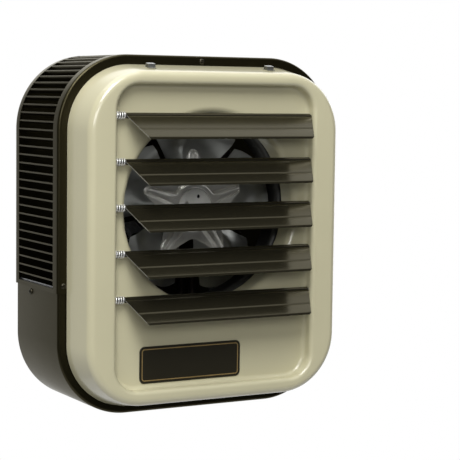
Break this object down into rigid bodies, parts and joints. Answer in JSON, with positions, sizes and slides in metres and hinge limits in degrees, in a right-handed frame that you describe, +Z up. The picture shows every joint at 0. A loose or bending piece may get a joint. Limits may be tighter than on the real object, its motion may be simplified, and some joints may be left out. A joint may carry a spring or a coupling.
{
  "type": "ceiling mounted fan heater",
  "caption": "Suspended electric fan heater: louvred steel cabinet, drawn front pan with a round outlet, tilting outlet louvres, fan, finned elements and a wiring compartment.",
  "frame": {"origin": "middle of the cabinet's flat top face, between the two hanging nuts, where the heater hangs", "axes": "+Z up; the outlet faces -Y; +X is the right-hand side seen from the front"},
  "size_m": [0.3576, 0.1925, 0.4049],
  "materials": {
    "bronze_enamel": "dark bronze-brown baked enamel, semi-gloss",
    "almond_enamel": "almond baked enamel, gloss, faint orange peel",
    "bronze_gloss": "dark bronze enamel, gloss",
    "bright_steel": "bright zinc-plated steel",
    "fan_aluminium": "mill finish",
    "galvanised_steel": "galvanised, faint spangle",
    "motor_black": "satin black",
    "element_steel": "oxidised steel",
    "moulded_black": "moulded phenolic",
    "plate_brown": "printed plate, semi-gloss"
  },
  "bodies": {
    "root": {"upper_wrapper": "bronze_enamel", "lower_cover": "bronze_enamel", "rear_panel": "bronze_enamel", "band_screw_top": "bronze_enamel", "band_screw_left": "bronze_enamel", "band_screw_right": "bronze_enamel", "cover_screw_left": "bronze_enamel", "cover_screw_right": "bronze_enamel", "front_pan": "almond_enamel", "thermal_cutout": "bright_steel", "divider_shelf": "galvanised_steel", "fan_shroud": "galvanised_steel", "panel_clip_left": "galvanised_steel", "panel_clip_right": "galvanised_steel", "motor_mount": "galvanised_steel", "element_strap_left": "galvanised_steel", "element_strap_right": "galvanised_steel", "hanger_nut_left": "galvanised_steel", "hanger_nut_right": "galvanised_steel", "motor_body": "motor_black", "transformer": "motor_black", "heating_element_1": "element_steel", "heating_element_2": "element_steel", "contactor": "moulded_black", "terminal_block": "moulded_black", "nameplate": "plate_brown"},
    "louvre_1": {"louvre_1_blade": "bronze_gloss", "louvre_1_pin": "bright_steel", "louvre_1_spring": "bright_steel"},
    "louvre_2": {"louvre_2_blade": "bronze_gloss", "louvre_2_pin": "bright_steel", "louvre_2_spring": "bright_steel"},
    "louvre_3": {"louvre_3_blade": "bronze_gloss", "louvre_3_pin": "bright_steel", "louvre_3_spring": "bright_steel"},
    "louvre_4": {"louvre_4_blade": "bronze_gloss", "louvre_4_pin": "bright_steel", "louvre_4_spring": "bright_steel"},
    "louvre_5": {"louvre_5_blade": "bronze_gloss", "louvre_5_pin": "bright_steel", "louvre_5_spring": "bright_steel"},
    "fan_rotor": {"fan_hub": "bright_steel", "fan_spider": "bright_steel", "motor_shaft": "bright_steel", "fan_blade_1": "fan_aluminium", "fan_blade_2": "fan_aluminium", "fan_blade_3": "fan_aluminium", "fan_blade_4": "fan_aluminium", "fan_blade_5": "fan_aluminium"}
  },
  "joints": [
    {"name": "louvre_1_tilt", "type": "hinge", "parent": "root", "child": "louvre_1", "pos_m": [0, -0.099, -0.0677], "axis": [1, 0, 0], "range_deg": [-40, 50]},
    {"name": "louvre_2_tilt", "type": "hinge", "parent": "root", "child": "louvre_2", "pos_m": [0, -0.099, -0.1185], "axis": [1, 0, 0], "range_deg": [-40, 50]},
    {"name": "louvre_3_tilt", "type": "hinge", "parent": "root", "child": "louvre_3", "pos_m": [0, -0.099, -0.1693], "axis": [1, 0, 0], "range_deg": [-40, 50]},
    {"name": "louvre_4_tilt", "type": "hinge", "parent": "root", "child": "louvre_4", "pos_m": [0, -0.099, -0.2201], "axis": [1, 0, 0], "range_deg": [-40, 50]},
    {"name": "louvre_5_tilt", "type": "hinge", "parent": "root", "child": "louvre_5", "pos_m": [0, -0.099, -0.2709], "axis": [1, 0, 0], "range_deg": [-40, 50]},
    {"name": "fan_spin", "type": "hinge", "parent": "root", "child": "fan_rotor", "pos_m": [0, -0.052, -0.1732], "axis": [0, 1, 0], "continuous": true}
  ]
}
